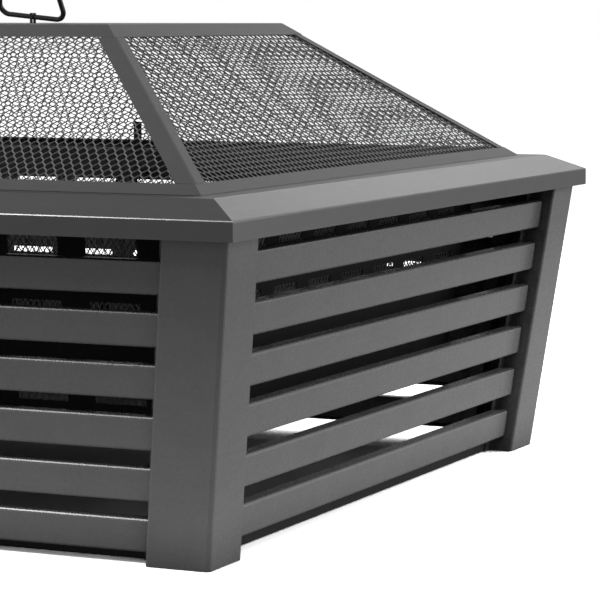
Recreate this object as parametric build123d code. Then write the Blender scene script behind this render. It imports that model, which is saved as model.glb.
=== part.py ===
"""Square slatted fire pit with a mesh lid and a log grate. Millimetres, +Z up, floor at z = 0.

The front of the pit faces -Y. Every side is drawn on the front and turned about Z.
"""
import math
import os

from build123d import *

os.makedirs("parts", exist_ok=True)

SIDES = ("front", "right", "back", "left")
CORNERS = ("front_right", "back_right", "back_left", "front_left")
SHEET = 1.2                 # folded sheet of posts, rim and lid frame
GAP = 0.3                   # clear space between pieces that move apart
FOLD_R = 2.5                # outside of a fold
RIDGE_R = 4.0               # outside of the posts' and the lid's corner folds
SLOPE_R = 8.0               # outside of the rim's shallow fold
FOLD_STEPS = 3              # flats that a fold is drawn with

# Body: four posts that lean in towards the floor
TAPER = 0.1223              # inward run per unit of height
FOOT_HALF = 410.5           # half-width over the posts at the floor
POST_TOP = 312.0
POST_FACE = 64.0
SLAT_RECESS = 11.0
SLAT_DEPTH = 15.0
POST_LIP = 14.0

# Slats
SLAT_ROWS = 6
SLAT_TOP = 281.0            # top of the highest slat on every side but the front
SLAT_PITCH = 46.75
SLAT_FACE = 30.8
PANEL_DROP = 6.1            # the front panel hangs lower by this much
END_GAP = 1.0               # between a slat's end and the post

# Bottom rails behind the lowest slats
RAIL_LOW = 0.8
RAIL_HIGH = 32.0
RAIL_SHEET = 2.0
RAIL_INSET = 45.0           # end of a rail, from the post's outer face

# Rim
RIM_HALF = 457.0
SKIRT_LOW = 295.0
FOLD = 313.0
PLATEAU_HALF = 421.0
RIM_TOP = 329.5
OPENING_HALF = 372.0
LEDGE_TOP = 303.0
LEDGE_HALF = 360.0

# Corner gussets, weld studs and nuts that hold the rim on the posts
GUSSET_LOW = 309.0
GUSSET_IN = 387.0
GUSSET_OUT = 445.0
STUD_AT = 402.0
STUD_R = 3.0
STUD_LOW = 298.0
STUD_CLEAR = 0.4
NUT_ACROSS = 10.0
NUT_HIGH = 5.0

# Fire box hung on the rim's ledge
BOX_SHEET = 1.2
BOX_HALF = 359.5            # outer half-width at the ledge
BOX_FLANGE = 371.5
BOX_LOW = 105.0
PAN_SHEET = 1.5
DRAIN_R = 6.0
DRAIN_AT = 200.0
WINDOW_COLUMNS = 8
WINDOW_PITCH = 81.4
WINDOW_WIDE = 53.0
WINDOW_ROWS = ((131.9, 155.4), (203.1, 226.6), (269.5, 293.0))
LINER_HALF = 321.0
LINER_LOW = 114.0
LINER_HIGH = 297.0
LINER_SHEET = 0.8
LINER_COLUMNS = 8
LINER_ROWS = 2
LINER_OPEN = 0.72           # share of a liner cell that is open

# Lid tabs on the fire box flange
TAB_AT = 60.0
TAB_WIDE = 10.0
TAB_FACE = 345.0
TAB_TOP = 361.5
TAB_FOOT = 25.0

# Lid
LID_HALF = 397.0
LID_LOW = RIM_TOP + GAP
LID_TOP_HALF = 197.0
LID_TOP = 477.6
LID_BAND = 15.0
LID_FOOT_HALF = 376.0
CAP_BAND = 20.5
HIP_LEG = 15.0
MESH_SHEET = 0.8
MESH_SEAT = 0.25            # play between a mesh and the strips over it
MESH_LOW = 333.0
MESH_HIGH = 474.0
MESH_ROWS = 3
MESH_CELL = 66.0
MESH_OPEN = 0.70

# Handle
ROD_R = 2.7
ROD_SIDES = 10
LOOP_WIDE = 80.0
LOOP_HIGH = 50.0
LOOP_BEND = 10.0
BAR_HIGH = 6.9              # bar centre above the cap
BAR_TILT = 5.6              # degrees, the bar's +X end is the lower one
LOOP_DRAW = 9.0             # degrees that each side of the loop leans in
LOOP_LEAN = 26.0            # degrees that the loop leans to the front
CLIP_LONG = 3.0
CLIP_SHEET = 0.9
CLIP_CLEAR = 0.45

# Log grate
GRATE_HALF_X = 220.0
GRATE_HALF_Y = 200.0
GRATE_BARS = 9
BAR_SIDE = 8.0
CROSS_AT = 150.0
CROSS_SIDE = 10.0
LEG_AT_Y = 170.0
LEG_HIGH = 30.0

FAR = 700.0                 # longer than any piece, for cutting tools


def out_at(z):
    """Half-width over the post faces at height z."""
    return FOOT_HALF + TAPER * z


def polygon(points):
    """Flat face through the points."""
    return Face(Wire.make_polygon([Vector(*p) for p in points], close=True))


def eased(points, folds):
    """Outline with some corners drawn as folds; folds gives the radius for a corner's place in the list."""
    outline = []
    for i, point in enumerate(points):
        if i not in folds:
            outline.append(point)
            continue
        corner = Vector(*point)
        before = (Vector(*points[i - 1]) - corner).normalized()
        after = (Vector(*points[(i + 1) % len(points)]) - corner).normalized()
        half = math.acos(before.dot(after)) / 2.0
        centre = corner + (before + after).normalized() * (folds[i] / math.sin(half))
        first = corner + before * (folds[i] / math.tan(half)) - centre
        last = corner + after * (folds[i] / math.tan(half)) - centre
        sweep = math.pi - 2.0 * half
        for step in range(FOLD_STEPS + 1):
            part = sweep * step / FOLD_STEPS
            spoke = (first * math.sin(sweep - part) + last * math.sin(part)) * (1.0 / math.sin(sweep))
            outline.append(((centre + spoke).X, (centre + spoke).Y))
    return outline


def turned(shape, k):
    """Shape turned from the front to side k."""
    return shape.rotate(Axis.Z, 90.0 * k)


def save(name, *shapes):
    """Write one node; it may hold several solids."""
    solids = [s for shape in shapes for s in shape.solids()]
    export_step(solids[0] if len(solids) == 1 else Compound(solids), f"parts/{name}.step")


def along_front(section, half):
    """Section of (distance out, height) points, drawn along the front for +-half."""
    face = polygon([(-half, -w, z) for w, z in section])
    return Solid.extrude(face, Vector(2.0 * half, 0, 0))


WEDGE = Solid.extrude(polygon([(0, 0, -1), (-FAR, -FAR, -1), (FAR, -FAR, -1)]), Vector(0, 0, FAR))


def mitred(section):
    """Front piece of a square frame with this section, cut at 45 degrees."""
    return along_front(section, FAR) & WEDGE


def corner_prism(legs, half, low, high, lean):
    """V-shaped section at the front right corner, pushed up along the corner's lean."""
    face = polygon([(half - u, v - half, low) for u, v in legs])
    rise = high - low
    return Solid.extrude(face, Vector(lean * rise, -lean * rise, rise))


def net(low_half, high_half, low, high, low_out, high_out, sheet, columns, rows, share):
    """Sheet on a sloped side with staggered diamond holes."""
    slant = math.hypot(high - low, high_out - low_out)
    up = Vector(0, -(high_out - low_out) / slant, (high - low) / slant)
    base = Vector(0, -low_out, low)
    inward = Vector(1, 0, 0).cross(up) * -1.0
    if inward.Y < 0:
        inward = inward * -1.0

    def at(s, t):
        return base + Vector(s, 0, 0) + up * t

    outer = Wire.make_polygon([at(-low_half, 0), at(low_half, 0), at(high_half, slant), at(-high_half, slant)],
                              close=True)
    cell_s = 2.0 * low_half / columns
    cell_t = slant / rows
    holes = []
    for j in range(2 * rows - 1):
        t = (j + 1) * cell_t / 2.0
        room = low_half + (high_half - low_half) * t / slant
        count = columns if j % 2 == 0 else columns - 1
        for i in range(count):
            s = (i - (count - 1) / 2.0) * cell_s
            if abs(s) + cell_s / 2.0 > room:
                continue
            a = share * cell_s / 2.0
            b = share * cell_t / 2.0
            holes.append(Wire.make_polygon([at(s - a, t), at(s, t - b), at(s + a, t), at(s, t + b)], close=True))
    return Solid.extrude(Face(outer, holes), inward * sheet)


# Posts: one folded sheet each, two faces, two returns and two lips behind the slats
lip_front = SLAT_RECESS + SLAT_DEPTH + GAP
lip_back = lip_front + SHEET
half_post = [(POST_FACE, 0), (POST_FACE, lip_front), (POST_FACE + POST_LIP, lip_front),
             (POST_FACE + POST_LIP, lip_back), (POST_FACE - SHEET, lip_back), (POST_FACE - SHEET, SHEET)]
post_legs = [(0, 0)] + half_post + [(SHEET, SHEET)] + [(v, u) for u, v in reversed(half_post)]
inside_r = FOLD_R - SHEET
ridge_inside_r = RIDGE_R - SHEET
post_folds = {0: RIDGE_R, 1: FOLD_R, 6: inside_r, 7: ridge_inside_r, 8: inside_r, 13: FOLD_R}
post = corner_prism(eased(post_legs, post_folds), FOOT_HALF, 0.0, POST_TOP, TAPER)
for k, name in enumerate(CORNERS):
    save(f"post_{name}", turned(post, k))


def slat(top):
    """C-channel whose face leans with the body."""
    low = top - SLAT_FACE

    def face(z):
        return out_at(z) - SLAT_RECESS

    section = [(face(low), low), (face(top), top), (face(top) - SLAT_DEPTH, top),
               (face(top) - SLAT_DEPTH, top - SHEET), (face(top - SHEET) - SHEET, top - SHEET),
               (face(low + SHEET) - SHEET, low + SHEET), (face(low) - SLAT_DEPTH, low + SHEET),
               (face(low) - SLAT_DEPTH, low)]
    folds = {0: FOLD_R, 1: FOLD_R, 4: inside_r, 5: inside_r}
    return along_front(eased(section, folds), out_at(low) - POST_FACE - END_GAP)


for k, name in enumerate(SIDES):
    for row in range(SLAT_ROWS):
        drop = PANEL_DROP if name == "front" else 0.0
        save(f"slat_{name}_{row + 1}", turned(slat(SLAT_TOP - drop - row * SLAT_PITCH), k))

# Bottom rails, behind the post lips; the back stays open
rail_out = lip_back + GAP
rail_section = [(out_at(RAIL_LOW) - rail_out, RAIL_LOW), (out_at(RAIL_HIGH) - rail_out, RAIL_HIGH),
                (out_at(RAIL_HIGH) - rail_out - RAIL_SHEET, RAIL_HIGH),
                (out_at(RAIL_LOW) - rail_out - RAIL_SHEET, RAIL_LOW)]
rail = along_front(rail_section, FOOT_HALF - RAIL_INSET)
save("bottom_rails", *[turned(rail, k) for k, name in enumerate(SIDES) if name != "back"])

# Rim: four mitred sections with skirt, slope, flat top, inner drop and ledge
rim_section = [(RIM_HALF, SKIRT_LOW), (RIM_HALF, FOLD), (PLATEAU_HALF, RIM_TOP), (OPENING_HALF, RIM_TOP),
               (OPENING_HALF, LEDGE_TOP), (LEDGE_HALF, LEDGE_TOP), (LEDGE_HALF, LEDGE_TOP - SHEET),
               (OPENING_HALF + SHEET, LEDGE_TOP - SHEET), (OPENING_HALF + SHEET, RIM_TOP - SHEET),
               (PLATEAU_HALF - SHEET / 4.0, RIM_TOP - SHEET), (RIM_HALF - SHEET, FOLD - SHEET * 2.0 / 3.0),
               (RIM_HALF - SHEET, SKIRT_LOW)]
rim_folds = {1: FOLD_R, 2: SLOPE_R, 3: FOLD_R, 8: inside_r, 9: SLOPE_R - SHEET, 10: inside_r}
rim = mitred(eased(rim_section, rim_folds))
for k, name in enumerate(SIDES):
    save(f"rim_{name}", turned(rim, k))

# Gussets in the post tops, with the rim's weld studs and their nuts
gusset = Pos((GUSSET_IN + GUSSET_OUT) / 2, -(GUSSET_IN + GUSSET_OUT) / 2, (GUSSET_LOW + POST_TOP) / 2) * Box(
    GUSSET_OUT - GUSSET_IN, GUSSET_OUT - GUSSET_IN, POST_TOP - GUSSET_LOW)
gusset -= Pos(STUD_AT, -STUD_AT, POST_TOP) * Cylinder(STUD_R + STUD_CLEAR, POST_TOP - SKIRT_LOW)
stud = Pos(STUD_AT, -STUD_AT, (STUD_LOW + RIM_TOP - SHEET) / 2) * Cylinder(STUD_R, RIM_TOP - SHEET - STUD_LOW)
nut_face = RegularPolygon(NUT_ACROSS / 2.0, 6, major_radius=False) - Circle(STUD_R + STUD_CLEAR / 4.0)
nut = Pos(STUD_AT, -STUD_AT, GUSSET_LOW - NUT_HIGH) * extrude(nut_face, NUT_HIGH)
save("rim_gussets", *[turned(gusset, k) for k in range(4)])
save("rim_studs", *[turned(stud, k) for k in range(4)])
save("rim_nuts", *[turned(nut, k) for k in range(4)])


def box_out(z):
    """Outer half-width of the fire box at height z."""
    return BOX_HALF + TAPER * (z - LEDGE_TOP)


# Fire box: four sheet walls with windows, a mesh liner inside each, and a flat pan
flange_top = LEDGE_TOP + BOX_SHEET
wall = mitred([(BOX_FLANGE, flange_top), (BOX_FLANGE, LEDGE_TOP), (BOX_HALF, LEDGE_TOP),
               (box_out(BOX_LOW), BOX_LOW), (box_out(BOX_LOW) - BOX_SHEET, BOX_LOW),
               (box_out(flange_top) - BOX_SHEET, flange_top)])
cutters = []
for low, high in WINDOW_ROWS:
    for i in range(WINDOW_COLUMNS):
        x = (i - (WINDOW_COLUMNS - 1) / 2.0) * WINDOW_PITCH
        mid = (low + high) / 2.0
        cutters.append(Pos(x, -box_out(mid), mid) * Box(WINDOW_WIDE, WINDOW_WIDE, high - low))
wall = wall - cutters
liner_out = BOX_SHEET + GAP
liner = net(LINER_HALF, LINER_HALF, LINER_LOW, LINER_HIGH, box_out(LINER_LOW) - liner_out,
            box_out(LINER_HIGH) - liner_out, LINER_SHEET, LINER_COLUMNS, LINER_ROWS, LINER_OPEN)
for k, name in enumerate(SIDES):
    save(f"fire_wall_{name}", turned(wall, k))
    save(f"fire_mesh_{name}", turned(liner, k))
pan_half = box_out(BOX_LOW)
pan = Pos(0, 0, BOX_LOW - PAN_SHEET / 2.0) * Box(2 * pan_half, 2 * pan_half, PAN_SHEET)
for x in (-DRAIN_AT, DRAIN_AT):
    for y in (-DRAIN_AT, DRAIN_AT):
        pan -= Pos(x, y, BOX_LOW) * Cylinder(DRAIN_R, 4 * PAN_SHEET)
save("fire_pan", pan)

# Lid tabs: bent strips on the fire box flange, one on the front wall and one on the back wall
tab_section = [(TAB_FACE, flange_top), (TAB_FACE, TAB_TOP), (TAB_FACE + SHEET, TAB_TOP),
               (TAB_FACE + SHEET, flange_top + SHEET), (TAB_FACE + TAB_FOOT, flange_top + SHEET),
               (TAB_FACE + TAB_FOOT, flange_top)]
tab = Pos(TAB_AT, 0, 0) * along_front(tab_section, TAB_WIDE / 2.0)
save("lid_tabs", tab, turned(tab, 2))

# Lid frame: a base ring, four hips and a cap
lid_run = (LID_HALF - LID_TOP_HALF) / (LID_TOP - LID_LOW)      # inward run per unit of height
lid_slant = math.hypot(1.0, lid_run)
sheet_run = SHEET * lid_slant                                  # sheet thickness measured level


def lid_out(z):
    """Half-width over the lid's outer faces at height z."""
    return LID_HALF - lid_run * (z - LID_LOW)


band_top = LID_LOW + LID_BAND / lid_slant
foot_top = LID_LOW + SHEET
ring = mitred([(LID_HALF, LID_LOW), (lid_out(band_top), band_top), (lid_out(band_top) - sheet_run, band_top),
               (lid_out(foot_top) - sheet_run, foot_top), (LID_FOOT_HALF, foot_top), (LID_FOOT_HALF, LID_LOW)])
ring_all = turned(ring, 0)
for k in range(1, 4):
    ring_all = ring_all + turned(ring, k)
save("lid_base_ring", ring_all)

cap_low = LID_TOP - CAP_BAND / lid_slant
cap_under = LID_TOP - SHEET
cap_section = [(lid_out(cap_low), cap_low), (LID_TOP_HALF, LID_TOP), (0, LID_TOP), (0, cap_under),
               (lid_out(cap_under) - sheet_run, cap_under), (lid_out(cap_low) - sheet_run, cap_low)]
cap = mitred(eased(cap_section, {1: RIDGE_R, 4: ridge_inside_r}))
cap_all = turned(cap, 0)
for k in range(1, 4):
    cap_all = cap_all + turned(cap, k)
save("lid_cap", cap_all)

hip_low = band_top + GAP
hip_wide = HIP_LEG * math.hypot(lid_slant, lid_run) / lid_slant  # leg measured level
hip_legs = [(0, 0), (hip_wide, 0), (hip_wide, sheet_run), (sheet_run, sheet_run),
            (sheet_run, hip_wide), (0, hip_wide)]
hip = corner_prism(eased(hip_legs, {0: RIDGE_R, 3: inside_r}), lid_out(hip_low), hip_low, cap_low - GAP, -lid_run)
for k, name in enumerate(CORNERS):
    save(f"lid_hip_{name}", turned(hip, k))

mesh_in = sheet_run + MESH_SEAT
mesh_side = mesh_in + MESH_SHEET * lid_slant + GAP
mesh = net(lid_out(MESH_LOW) - mesh_side, lid_out(MESH_HIGH) - mesh_side, MESH_LOW, MESH_HIGH,
           lid_out(MESH_LOW) - mesh_in, lid_out(MESH_HIGH) - mesh_in, MESH_SHEET,
           round(2.0 * lid_out(MESH_LOW) / MESH_CELL), MESH_ROWS, MESH_OPEN)
for k, name in enumerate(SIDES):
    save(f"lid_mesh_{name}", turned(mesh, k))

# Handle: a closed wire loop whose lower bar turns in a clip on the cap
bar_z = LID_TOP + BAR_HIGH
clip_in = ROD_R + GAP
clip_top = BAR_HIGH + ROD_R + CLIP_CLEAR
clip_section = [(-clip_in - CLIP_SHEET, 0), (-clip_in - CLIP_SHEET, clip_top + CLIP_SHEET),
                (clip_in + CLIP_SHEET, clip_top + CLIP_SHEET), (clip_in + CLIP_SHEET, 0), (clip_in, 0),
                (clip_in, clip_top), (-clip_in, clip_top), (-clip_in, 0)]
save("handle_clip", Pos(0, 0, LID_TOP) * along_front(clip_section, CLIP_LONG / 2.0))
loop_top = LOOP_WIDE / 2.0 - LOOP_HIGH * math.tan(math.radians(LOOP_DRAW))
loop_flat = Polygon((-LOOP_WIDE / 2.0, 0), (LOOP_WIDE / 2.0, 0), (loop_top, LOOP_HIGH), (-loop_top, LOOP_HIGH),
                    align=None)
loop_path = Plane.XZ * fillet(loop_flat.vertices(), LOOP_BEND).wire()
start = loop_path @ 0
rod = sweep(Plane(start, z_dir=loop_path % 0) * RegularPolygon(ROD_R, ROD_SIDES), path=loop_path)
save("lid_handle", Pos(0, 0, bar_z) * Rot(0, BAR_TILT, 0) * Rot(LOOP_LEAN, 0, 0) * rod)

# Log grate standing on the pan: square bars welded on two cross bars with legs
leg_low = BOX_LOW + GAP
cross_low = leg_low + LEG_HIGH
bar_low = cross_low + CROSS_SIDE
frame_pieces = []
for x in (-CROSS_AT, CROSS_AT):
    frame_pieces.append(Pos(x, 0, cross_low + CROSS_SIDE / 2) * Box(CROSS_SIDE, 2 * GRATE_HALF_Y, CROSS_SIDE))
    for y in (-LEG_AT_Y, LEG_AT_Y):
        frame_pieces.append(Pos(x, y, leg_low + LEG_HIGH / 2) * Box(CROSS_SIDE, CROSS_SIDE, LEG_HIGH))
save("grate_frame", *frame_pieces)
bar_pitch = (2 * GRATE_HALF_Y - BAR_SIDE) / (GRATE_BARS - 1)
bars = []
for i in range(GRATE_BARS):
    y = (i - (GRATE_BARS - 1) / 2.0) * bar_pitch
    bars.append(Pos(0, y, bar_low + BAR_SIDE / 2) * Box(2 * GRATE_HALF_X, BAR_SIDE, BAR_SIDE))
save("grate_bars", *bars)
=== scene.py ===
"""Looks of the square slatted fire pit: finishes, fine mesh, light and camera. Metres, +Z up."""
import math

import bpy
from mathutils import Matrix, Vector


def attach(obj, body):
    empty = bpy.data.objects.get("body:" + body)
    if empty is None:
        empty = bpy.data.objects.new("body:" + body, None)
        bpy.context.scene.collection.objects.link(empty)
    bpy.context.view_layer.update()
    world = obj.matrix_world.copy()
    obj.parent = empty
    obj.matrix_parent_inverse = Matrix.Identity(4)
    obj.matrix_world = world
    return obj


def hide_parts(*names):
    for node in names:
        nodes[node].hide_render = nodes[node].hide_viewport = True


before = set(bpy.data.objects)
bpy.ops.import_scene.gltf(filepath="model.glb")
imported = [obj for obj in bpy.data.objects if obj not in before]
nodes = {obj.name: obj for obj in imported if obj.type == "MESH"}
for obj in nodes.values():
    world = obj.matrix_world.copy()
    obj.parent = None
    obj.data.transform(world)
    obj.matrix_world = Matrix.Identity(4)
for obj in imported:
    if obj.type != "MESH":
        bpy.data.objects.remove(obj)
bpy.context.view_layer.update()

SIDES = ("front", "right", "back", "left")

# Camera, from a fit to the photograph's edges; angles in degrees
CAMERA_TURN = 30.09         # round the object, from the front towards the right
CAMERA_AWAY = 2.991
CAMERA_HIGH = 0.4868
LOOK_TURN = 24.70
LOOK_DOWN = 5.787
LENS = 169.0                # millimetres, on a sensor of the next width
SENSOR = 36.0
VIEW_END = 100.0

# Lid, as in the solids
LID_HALF = 0.397
LID_LOW = 0.3298
LID_TOP_HALF = 0.197
LID_TOP = 0.4776
MESH_LOW = 0.333
MESH_HIGH = 0.474
MESH_UNDER = 0.0030         # mesh face behind the lid's outer faces, measured level
MESH_SHORT = 0.002          # mesh's side edge, inside the corner

# Weld beads across the lid's corner seams
LID_BAND = 0.00906          # lower seam above the lid's foot
CAP_BAND = 0.01233          # upper seam below the lid's top
WELD_FROM = 0.0015          # a bead's ends, from the corner
WELD_TO = 0.0155
WELD_TALL = 0.0012
WELD_DEEP = 0.0008
WELD_UNDER = 0.0006         # bead's middle behind the lid's outer face

# Expanded metal of the lid: cell along the side and up the slope, in the order of SIDES
CELLS = ((0.0097, 0.0150), (0.0098, 0.0143), (0.0101, 0.0153), (0.0098, 0.0143))
STRAND = 0.0013
STRAND_DEEP = 0.0008
STRAND_TILT = -0.32         # radians, all strands the same way, as slats in a shutter
BOND = (0.0032, 0.0015)     # along the slope and across it

# Expanded metal of the fire box
LINER_CELL = (0.0075, 0.0118)
LINER_STRAND = 0.0009
LINER_DEEP = 0.0007

# Fire box, as in the solids
TAPER = 0.1223
BOX_HALF = 0.3595
LEDGE_TOP = 0.303
LINER_HALF = 0.321
LINER_LOW = 0.114
LINER_HIGH = 0.297
LINER_UNDER = 0.0016        # mesh behind the wall's outer face

# Textures of the coats; scales are those of Blender's noise
MOTTLE_SCALE = 30.0
SPECK_SCALE = 900.0
SPECK_DARK = 0.86
SPECK_LIGHT = 1.1
SPECK_SHARE = 0.6
LINE_SCALE = 60.0
LINE_SQUASH = (0.02, 0.02, 9.0)
GLOSS_SCALE = 160.0
GLOSS_DOWN = 0.01
GLOSS_UP = 0.02
PEEL_SCALE = 420.0
PEEL_DEPTH = 0.0006
# Painted shade in recesses, found by ambient occlusion
RECESS_SHADE_SAMPLES = 6
RECESS_SHADE_DARK = 0.15
RECESS_SHADE_STOPS = (0.20, 0.75)   # open share at which the painted shade is darkest and at which it ends
FOLD_STOPS = (0.40, 0.46, 0.80, 0.86)   # upward part of the normal on the folds' flats that get the painted sheen

# Zinc plate
SPANGLE_SCALE = 180.0
SPANGLE_DARK = 0.8
CLOUD_SCALE = 90.0
CLOUD_DOWN = 0.08
CLOUD_UP = 0.1

# Floor: brightness to the camera, to bounced light and in the painted shadow under the fire box
FLOOR_HALF = 30.0
FLOOR_DROP = 0.0005
FLOOR_SEEN = 3.2
FLOOR_BOUNCED = 0.55
FLOOR_UNDER = 0.5
SHADOW_HALF = 0.37             # painted shadow on the floor under the fire box
SHADOW_FADE = 0.06

# Light of the surroundings near the floor's level and overhead
SKY_LOW = 0.46
SKY_HIGH = 0.34
SKY_STOPS = (0.0, 0.42, 0.62)

# Lamps: place, point aimed at, sizes, watts and the direction of the second size
UPRIGHT = (0, 0, 1)
LAMPS = (
    ("key_right", (2.5, 1.5, 1.05), (0, 0, 0.25), (1.6, 1.6), 49, UPRIGHT),
    ("strip_left", (-1.5, -1.42, 2.05), (0, -0.43, 0.15), (0.3, 1.4), 30, (-1.08, 0.08, -0.29)),
    ("back_glow", (-0.9, 3.2, 1.6), (0, 0, 0.3), (3.0, 0.9), 10, UPRIGHT),
)


def grey(value):
    """A colour with three equal parts."""
    return (value, value, value)


def tree(name):
    """A new material with one shader: the material, its node tree and the shader."""
    m = bpy.data.materials.new(name)
    m.use_nodes = True
    t = m.node_tree
    t.nodes.clear()
    out = t.nodes.new("ShaderNodeOutputMaterial")
    shader = t.nodes.new("ShaderNodeBsdfPrincipled")
    t.links.new(shader.outputs[0], out.inputs[0])
    return m, t, shader


def noise(t, coord, scale, detail=4.0, rough=0.55, squash=None):
    """Noise at a coordinate, which may be squashed along its axes first."""
    n = t.nodes.new("ShaderNodeTexNoise")
    n.inputs["Scale"].default_value = scale
    n.inputs["Detail"].default_value = detail
    n.inputs["Roughness"].default_value = rough
    source = coord
    if squash:
        m = t.nodes.new("ShaderNodeMapping")
        m.inputs["Scale"].default_value = squash
        t.links.new(coord, m.inputs["Vector"])
        source = m.outputs[0]
    t.links.new(source, n.inputs["Vector"])
    return n.outputs["Fac"]


def ramp(t, fac, stops):
    """Colour that goes from stop to stop; each stop is a position and a colour."""
    r = t.nodes.new("ShaderNodeValToRGB")
    e = r.color_ramp.elements
    while len(e) < len(stops):
        e.new(0.5)
    for item, (pos, colour) in zip(e, stops):
        item.position = pos
        item.color = (*colour, 1.0)
    t.links.new(fac, r.inputs["Fac"])
    return r.outputs["Color"]


def mixed(t, kind, fac, a, b):
    """Two colours blended; fac is a number or a socket."""
    m = t.nodes.new("ShaderNodeMix")
    m.data_type = "RGBA"
    m.blend_type = kind
    if isinstance(fac, float):
        m.inputs["Factor"].default_value = fac
    else:
        t.links.new(fac, m.inputs["Factor"])
    t.links.new(a, m.inputs[6])
    t.links.new(b, m.inputs[7])
    return m.outputs[2]


def toned(t, coord, colour, shade):
    """The colour times a tone that goes by height: from, to, tone at the first and at the second."""
    low, high, at_low, at_high = shade
    sep = t.nodes.new("ShaderNodeSeparateXYZ")
    t.links.new(coord, sep.inputs[0])
    span = t.nodes.new("ShaderNodeMapRange")
    span.inputs["From Min"].default_value = low
    span.inputs["From Max"].default_value = high
    t.links.new(sep.outputs["Z"], span.inputs["Value"])
    tone = ramp(t, span.outputs[0], [(0.0, grey(at_low)), (1.0, grey(at_high))])
    return mixed(t, "MULTIPLY", 1.0, colour, tone)


def recess_shaded(t, colour, reach):
    """The colour, darkened in recesses that are closed in within the given reach: painted shade."""
    recess = t.nodes.new("ShaderNodeAmbientOcclusion")
    recess.samples = RECESS_SHADE_SAMPLES
    recess.inputs["Distance"].default_value = reach
    darkest, unshaded = RECESS_SHADE_STOPS
    recess_tone = ramp(t, recess.outputs["AO"], [(darkest, grey(RECESS_SHADE_DARK)), (unshaded, grey(1.0))])
    return mixed(t, "MULTIPLY", 1.0, colour, recess_tone)


def fold_sheened(t, shader, colour, sheen_grey):
    """The colour, with metallic flats of a paler grey on upward folds: a painted sheen that makes the lamps show
    as highlight lines.
    """
    facing = t.nodes.new("ShaderNodeSeparateXYZ")
    t.links.new(t.nodes.new("ShaderNodeNewGeometry").outputs["True Normal"], facing.inputs[0])
    fold = ramp(t, facing.outputs["Z"], list(zip(FOLD_STOPS, (grey(0.0), grey(1.0), grey(1.0), grey(0.0)))))
    metal = t.nodes.new("ShaderNodeRGB")
    metal.outputs[0].default_value = (*grey(sheen_grey), 1.0)
    t.links.new(fold, shader.inputs["Metallic"])
    return mixed(t, "MIX", fold, colour, metal.outputs[0])


def coated(name, dark, light, roughness, peel=0.04, lines=0.0, specular=0.5, shade=None, fold_sheen=0.0, recess_shade=0.0):
    """Powder coat: mottled colour, fine orange peel and faint drawn lines, with a tone by height, painted shade
    in recesses and a painted sheen on the fold flats where asked for.
    """
    m, t, s = tree(name)
    coord = t.nodes.new("ShaderNodeTexCoord").outputs["Object"]
    colour = ramp(t, noise(t, coord, MOTTLE_SCALE, 6.0), [(0.25, dark), (0.75, light)])
    speck = ramp(t, noise(t, coord, SPECK_SCALE, 2.0), [(0.35, grey(SPECK_DARK)), (0.65, grey(SPECK_LIGHT))])
    colour = mixed(t, "MULTIPLY", SPECK_SHARE, colour, speck)
    if lines:
        drawn = ramp(t, noise(t, coord, LINE_SCALE, 3.0, 0.6, LINE_SQUASH),
                     [(0.3, grey(1.0 - lines)), (0.7, grey(1.0 + lines))])
        colour = mixed(t, "MULTIPLY", 1.0, colour, drawn)
    # tone by height; on the body coat it is painted shade towards the top and painted light towards the floor
    if shade:
        colour = toned(t, coord, colour, shade)
    # painted shade in recesses
    if recess_shade:
        colour = recess_shaded(t, colour, recess_shade)
    # painted sheen: the fold flats are made metallic so the lamps show on them as highlight lines
    if fold_sheen:
        colour = fold_sheened(t, s, colour, fold_sheen)
    t.links.new(colour, s.inputs["Base Color"])
    rough = ramp(t, noise(t, coord, GLOSS_SCALE, 4.0),
                 [(0.3, grey(roughness - GLOSS_DOWN)), (0.7, grey(roughness + GLOSS_UP))])
    t.links.new(rough, s.inputs["Roughness"])
    s.inputs["Specular IOR Level"].default_value = specular
    bump = t.nodes.new("ShaderNodeBump")
    bump.inputs["Strength"].default_value = peel
    bump.inputs["Distance"].default_value = PEEL_DEPTH
    t.links.new(noise(t, coord, PEEL_SCALE, 3.0), bump.inputs["Height"])
    t.links.new(bump.outputs[0], s.inputs["Normal"])
    return m


def plated(name, colour, roughness):
    """Zinc plate with cloudy spangle."""
    m, t, s = tree(name)
    coord = t.nodes.new("ShaderNodeTexCoord").outputs["Object"]
    spangle = ramp(t, noise(t, coord, SPANGLE_SCALE, 5.0),
                   [(0.3, tuple(c * SPANGLE_DARK for c in colour)), (0.7, colour)])
    t.links.new(spangle, s.inputs["Base Color"])
    cloud = ramp(t, noise(t, coord, CLOUD_SCALE),
                 [(0.3, grey(roughness - CLOUD_DOWN)), (0.7, grey(roughness + CLOUD_UP))])
    t.links.new(cloud, s.inputs["Roughness"])
    s.inputs["Metallic"].default_value = 1.0
    return m


# Body coat: painted shade towards the top, under the rim, and painted light towards the floor; painted shade in
# recesses; painted sheen on the fold flats
BODY = coated("body_coat", (0.200, 0.200, 0.204), (0.222, 0.222, 0.226), roughness=0.27, peel=0.012, lines=0.03,
              shade=(0.02, 0.26, 1.0, 0.38), fold_sheen=0.22, recess_shade=0.07)
# Rim coat: painted sheen on the fold flats
RIM = coated("rim_coat", (0.062, 0.062, 0.065), (0.070, 0.070, 0.073), roughness=0.30, peel=0.02, lines=0.03,
             fold_sheen=0.20)
LID = coated("lid_coat", (0.098, 0.098, 0.102), (0.108, 0.108, 0.112), roughness=0.50, peel=0.03, lines=0.03,
             specular=0.35)
MESH = coated("lid_mesh_coat", (0.130, 0.130, 0.132), (0.160, 0.160, 0.162), roughness=0.50, peel=0.03)
RAIL = coated("rail_coat", (0.010, 0.010, 0.010), (0.015, 0.015, 0.015), roughness=0.60, specular=0.3)
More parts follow.
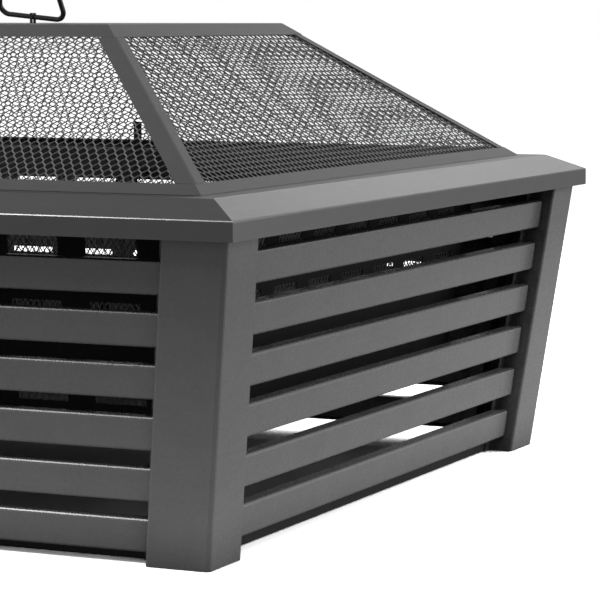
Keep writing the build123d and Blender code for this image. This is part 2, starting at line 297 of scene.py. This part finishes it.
# Fire box coat: darker towards the bottom, with painted shade in recesses
FIRE = coated("fire_box_coat", (0.042, 0.042, 0.043), (0.066, 0.065, 0.065), roughness=0.75, peel=0.08,
              specular=0.20, shade=(0.1, 0.31, 0.6, 0.85), recess_shade=0.12)
FIRE_MESH = coated("fire_mesh_coat", (0.083, 0.083, 0.084), (0.105, 0.104, 0.103), roughness=0.55, peel=0.05)
WIRE = coated("wire_gloss", (0.012, 0.012, 0.012), (0.018, 0.018, 0.018), roughness=0.30, peel=0.02, specular=0.4)
IRON = coated("grate_iron", (0.046, 0.045, 0.043), (0.068, 0.066, 0.063), roughness=0.68, peel=0.25, specular=0.3)
ZINC = plated("zinc", (0.58, 0.58, 0.60), roughness=0.38)


def finish_of(name):
    """The material of a CAD node."""
    if name in ("rim_studs", "rim_nuts"):
        return ZINC
    if name.startswith("rim_"):
        return RIM
    if name.startswith("fire_mesh"):
        return FIRE_MESH
    if name.startswith("fire_") or name == "lid_tabs":
        return FIRE
    if name.startswith("lid_mesh"):
        return MESH
    if name in ("lid_handle", "handle_clip"):
        return WIRE
    if name.startswith("lid_"):
        return LID
    if "grate" in name:
        return IRON
    if name == "bottom_rails":
        return RAIL
    return BODY


for name, obj in nodes.items():
    obj.data.materials.clear()
    obj.data.materials.append(finish_of(name))


def bar(verts, faces, a, b, wide, deep):
    """Add a closed four-sided bar from a to b; wide and deep reach from its axis to its faces.

    Its faces point outwards where wide x deep points from a to b.
    """
    first = len(verts)
    for end in (a, b):
        verts.extend([end + wide + deep, end - wide + deep, end - wide - deep, end + wide - deep])
    for k in range(4):
        j = (k + 1) % 4
        faces.append((first + k, first + j, first + 4 + j, first + 4 + k))
    faces.append((first + 3, first + 2, first + 1, first))
    faces.append((first + 4, first + 5, first + 6, first + 7))


def clipped(a, b, low_half, high_half, tall):
    """The part of the line a-b that lies inside the panel, or None; points are (along, up)."""
    lean = (high_half - low_half) / tall
    start, end = 0.0, 1.0
    for edge in (lambda p: p[1], lambda p: tall - p[1],
                 lambda p: low_half + lean * p[1] - p[0], lambda p: low_half + lean * p[1] + p[0]):
        at_a, at_b = edge(a), edge(b)
        if at_a < 0 and at_b < 0:
            return None
        if at_a < 0:
            start = max(start, at_a / (at_a - at_b))
        elif at_b < 0:
            end = min(end, at_a / (at_a - at_b))
    if end <= start:
        return None
    return [tuple(p + (q - p) * f for p, q in zip(a, b)) for f in (start, end)]


def piece(name, verts, faces, material, slot, body):
    """A new object from points and faces that moves with a body."""
    data = bpy.data.meshes.new(name)
    data.from_pydata(verts, [], faces)
    data.validate()
    obj = bpy.data.objects.new(name, data)
    bpy.context.scene.collection.objects.link(obj)
    data.materials.append(material)
    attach(obj, body)
    return obj


def stretch(shape, place, a, b, width, deep, tilt):
    """Add one straight strand from a to b, given along and up the panel, where it lies inside it."""
    base, along, up, low_half, high_half, tall = place
    ends = clipped(a, b, low_half, high_half, tall)
    if not ends:
        return
    a, b = (base + along * p[0] + up * p[1] for p in ends)
    line = (b - a).normalized()
    normal = along.cross(up)
    wide = normal.cross(line) * math.cos(tilt) + normal * math.sin(tilt)
    bar(*shape, a, b, wide * width / 2, line.cross(wide) * deep / 2)


def expanded(place, cell):
    """Expanded metal with six-sided cells: slanted strands between upright bonds."""
    shape = ([], [])
    low_half, tall = place[3], place[5]
    wide, high = cell
    half_bond = BOND[0] / 2
    rows = int(tall / high) + 1
    columns = int(low_half / wide) + 1
    for j in range(-rows, rows + 1):
        t = tall / 2 + j * high / 2
        for i in range(-columns, columns + 1):
            s = (i + j % 2 / 2) * wide
            stretch(shape, place, (s, t - half_bond), (s, t + half_bond), BOND[1], STRAND_DEEP, STRAND_TILT)
            for way in (wide / 2, -wide / 2):
                stretch(shape, place, (s, t + half_bond), (s + way, t + high / 2 - half_bond),
                        STRAND, STRAND_DEEP, STRAND_TILT)
    return shape


def crossed(place):
    """Two sets of straight slanted strands."""
    shape = ([], [])
    low_half, tall = place[3], place[5]
    wide, high = LINER_CELL
    run = wide * tall / high
    count = int((low_half + run) / wide) + 1
    for i in range(-count, count + 1):
        for way in (run / 2, -run / 2):
            stretch(shape, place, (i * wide - way, 0.0), (i * wide + way, tall), LINER_STRAND, LINER_DEEP, 0.0)
    return shape


def turn(v, k):
    """The vector turned from the front to side k, a quarter turn at a time."""
    for _ in range(k):
        v = Vector((-v.y, v.x, v.z))
    return v


def panel(k, low, high, low_out, high_out, low_half, high_half):
    """Place of a flat panel on side k: foot's middle, directions along and up, half-widths and height."""
    rise = Vector((0, low_out - high_out, high - low))
    return (turn(Vector((0, -low_out, low)), k), turn(Vector((1, 0, 0)), k), turn(rise.normalized(), k),
            low_half, high_half, rise.length)


def lid_out(z):
    """Half-width over the lid's outer faces at a height."""
    return LID_HALF - (LID_HALF - LID_TOP_HALF) * (z - LID_LOW) / (LID_TOP - LID_LOW)


def box_out(z):
    """Half-width over the fire box walls at a height."""
    return BOX_HALF + TAPER * (z - LEDGE_TOP)


for k, side in enumerate(SIDES):
    low_out = lid_out(MESH_LOW) - MESH_UNDER
    high_out = lid_out(MESH_HIGH) - MESH_UNDER
    place = panel(k, MESH_LOW, MESH_HIGH, low_out, high_out, low_out - MESH_SHORT, high_out - MESH_SHORT)
    shown = piece(f"expanded_lid_{side}", *expanded(place, CELLS[k]), MESH, "lid_mesh", "lid")
    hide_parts(f"lid_mesh_{side}")
    place = panel(k, LINER_LOW, LINER_HIGH, box_out(LINER_LOW) - LINER_UNDER, box_out(LINER_HIGH) - LINER_UNDER,
                  LINER_HALF, LINER_HALF)
    shown = piece(f"expanded_fire_{side}", *crossed(place), FIRE_MESH, "fire_mesh", "pit")
    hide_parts(f"fire_mesh_{side}")


def corner_welds(name, height):
    """Weld beads that close the seam across the lid's four corner strips at one height."""
    verts = []
    faces = []
    out = lid_out(height)
    slope = Vector((0, lid_out(0) - lid_out(1), 1)).normalized()
    for k in range(len(SIDES)):
        along, up = turn(Vector((1, 0, 0)), k), turn(slope, k)
        outward = along.cross(up)
        for way in (1.0, -1.0):
            corner = turn(Vector((way * out, -out, height)), k) - outward * WELD_UNDER
            bar(verts, faces, corner - along * way * WELD_TO, corner - along * way * WELD_FROM,
                up * WELD_TALL / 2, outward * WELD_DEEP / 2 * way)
    piece(name, verts, faces, LID, "lid_frame", "lid")


corner_welds("weld_lid_low", LID_LOW + LID_BAND)
corner_welds("weld_lid_high", LID_TOP - CAP_BAND)


def math_node(t, operation, *values):
    """Result of a sum on one or two sockets."""
    n = t.nodes.new("ShaderNodeMath")
    n.operation = operation
    for socket, value in zip(n.inputs, values):
        t.links.new(value, socket)
    return n.outputs[0]


def white_floor(name, seen, bounced, under):
    """Matt floor, paler to the camera than to bounced light, so it clips to white where it is lit.

    Under the fire box the floor is darker: a painted shadow.
    """
    m = bpy.data.materials.new(name)
    m.use_nodes = True
    t = m.node_tree
    t.nodes.clear()
    out = t.nodes.new("ShaderNodeOutputMaterial")
    matt = t.nodes.new("ShaderNodeBsdfDiffuse")
    path = t.nodes.new("ShaderNodeLightPath")
    direct = math_node(t, "MAXIMUM", path.outputs["Is Camera Ray"], path.outputs["Is Transmission Ray"])
    place = t.nodes.new("ShaderNodeSeparateXYZ")
    t.links.new(t.nodes.new("ShaderNodeNewGeometry").outputs["Position"], place.inputs[0])
    reach = [math_node(t, "ABSOLUTE", place.outputs[axis]) for axis in ("X", "Y")]
    # painted shadow: the floor darkens under the fire box
    span = t.nodes.new("ShaderNodeMapRange")
    span.inputs["From Min"].default_value = SHADOW_HALF - SHADOW_FADE
    span.inputs["From Max"].default_value = SHADOW_HALF
    span.inputs["To Min"].default_value = under
    span.inputs["To Max"].default_value = seen
    t.links.new(math_node(t, "MAXIMUM", *reach), span.inputs["Value"])
    pick = t.nodes.new("ShaderNodeMix")
    pick.data_type = "RGBA"
    t.links.new(direct, pick.inputs["Factor"])
    pick.inputs[6].default_value = (*grey(bounced), 1.0)
    t.links.new(span.outputs[0], pick.inputs[7])
    t.links.new(pick.outputs[2], matt.inputs["Color"])
    t.links.new(matt.outputs[0], out.inputs[0])
    return m


floor_data = bpy.data.meshes.new("floor")
floor_corners = [(x * FLOOR_HALF, y * FLOOR_HALF, 0) for x, y in ((-1, -1), (1, -1), (1, 1), (-1, 1))]
floor_data.from_pydata(floor_corners, [], [(0, 1, 2, 3)])
floor = bpy.data.objects.new("floor", floor_data)
bpy.context.scene.collection.objects.link(floor)
floor.location.z = -FLOOR_DROP
floor_data.materials.append(white_floor("floor_white", FLOOR_SEEN, FLOOR_BOUNCED, FLOOR_UNDER))


def studio():
    """Surroundings that are white to the camera and light the object by height."""
    world = bpy.data.worlds.new("studio")
    world.use_nodes = True
    t = world.node_tree
    t.nodes.clear()
    out = t.nodes.new("ShaderNodeOutputWorld")
    height = t.nodes.new("ShaderNodeSeparateXYZ")
    t.links.new(t.nodes.new("ShaderNodeTexCoord").outputs["Generated"], height.inputs[0])
    sky = ramp(t, height.outputs["Z"], list(zip(SKY_STOPS, (grey(SKY_LOW), grey(SKY_LOW), grey(SKY_HIGH)))))
    ambient = t.nodes.new("ShaderNodeBackground")
    t.links.new(sky, ambient.inputs[0])
    white = t.nodes.new("ShaderNodeBackground")
    white.inputs[0].default_value = (1, 1, 1, 1)
    white.inputs[1].default_value = 1.0
    path = t.nodes.new("ShaderNodeLightPath")
    mix = t.nodes.new("ShaderNodeMixShader")
    t.links.new(path.outputs["Is Camera Ray"], mix.inputs[0])
    t.links.new(ambient.outputs[0], mix.inputs[1])
    t.links.new(white.outputs[0], mix.inputs[2])
    t.links.new(mix.outputs[0], out.inputs[0])
    return world


bpy.context.scene.world = studio()


def soft_light(name, spot, aim, size, power, along):
    """Rectangular lamp; the second of its sizes runs as near as can be to the given direction."""
    data = bpy.data.lights.new(name, "AREA")
    data.shape = "RECTANGLE"
    data.size, data.size_y = size
    data.energy = power
    lamp = bpy.data.objects.new(name, data)
    back = (Vector(spot) - Vector(aim)).normalized()
    across = Vector(along).cross(back).normalized()
    lamp.rotation_euler = Matrix((across, back.cross(across), back)).transposed().to_euler()
    lamp.location = spot
    bpy.context.scene.collection.objects.link(lamp)


for lamp_values in LAMPS:
    soft_light(*lamp_values)

cam_data = bpy.data.cameras.new("camera")
cam_data.lens = LENS
cam_data.sensor_width = SENSOR
cam_data.clip_end = VIEW_END
cam = bpy.data.objects.new("camera", cam_data)
bpy.context.scene.collection.objects.link(cam)
round_by = math.radians(CAMERA_TURN)
look = math.radians(LOOK_TURN)
down = math.radians(LOOK_DOWN)
cam.location = (CAMERA_AWAY * math.sin(round_by), -CAMERA_AWAY * math.cos(round_by), CAMERA_HIGH)
ahead = Vector((-math.sin(look) * math.cos(down), math.cos(look) * math.cos(down), -math.sin(down)))
cam.rotation_euler = ahead.to_track_quat("-Z", "Y").to_euler()
bpy.context.scene.camera = cam
bpy.context.scene.view_settings.view_transform = "Standard"
